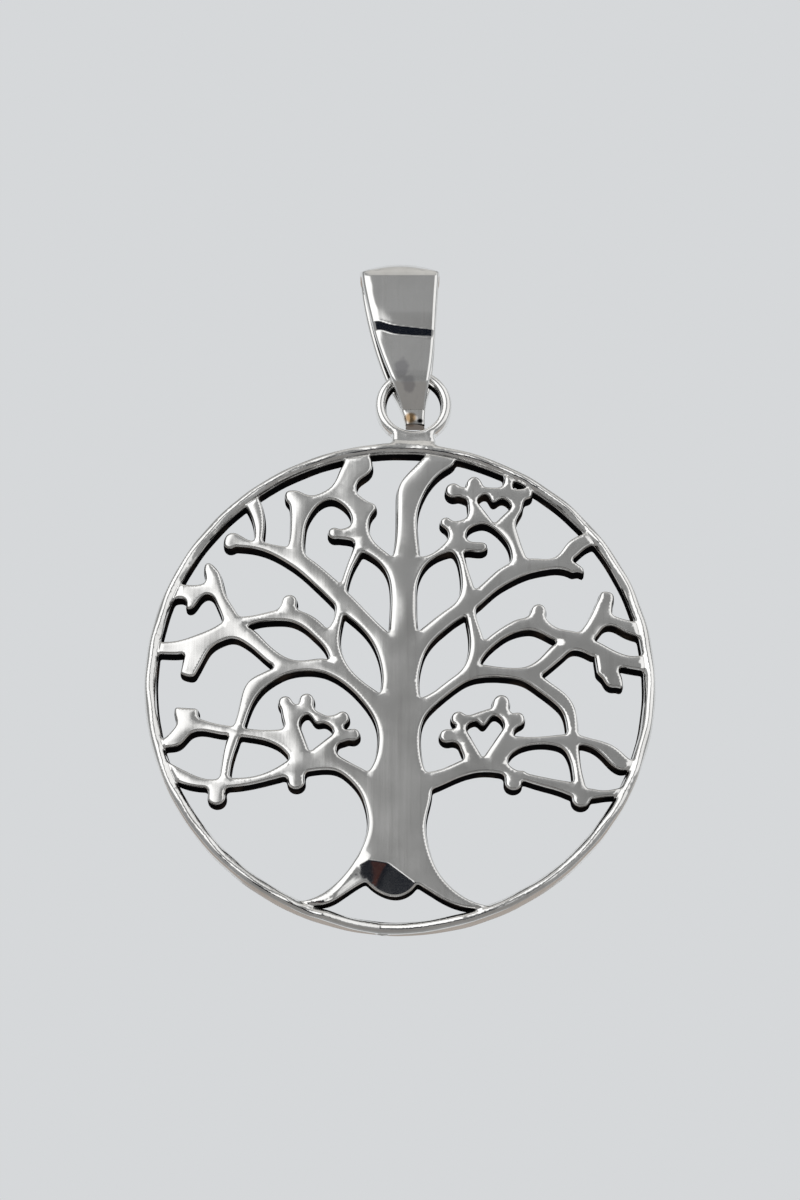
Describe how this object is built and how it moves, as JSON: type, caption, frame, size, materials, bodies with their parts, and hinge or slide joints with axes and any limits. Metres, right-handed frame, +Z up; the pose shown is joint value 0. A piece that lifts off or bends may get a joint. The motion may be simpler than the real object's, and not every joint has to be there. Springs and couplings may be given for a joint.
{
  "type": "pendant",
  "caption": "Round pierced tree pendant with blossoms and heart openings in a thin ring, hung by its eye from a tapered folded strip bail.",
  "frame": {"origin": "inside of the bail's top, where a chain runs through", "axes": "+Z up, X across the disc, and the tree's front faces -Y"},
  "size_m": [0.035, 0.004, 0.0488],
  "materials": {
    "silver": "polished silver, oxidised dark in the pierced walls",
    "bail_silver": "polished silver"
  },
  "bodies": {
    "bail": {"bail": "bail_silver"},
    "pendant": {"tree_pendant": "silver"}
  },
  "joints": [
    {"name": "pendant_swing", "type": "hinge", "parent": "bail", "child": "pendant", "pos_m": [0, 0, -0.00805], "axis": [1, 0, 0], "range_deg": [-20, 20]}
  ]
}
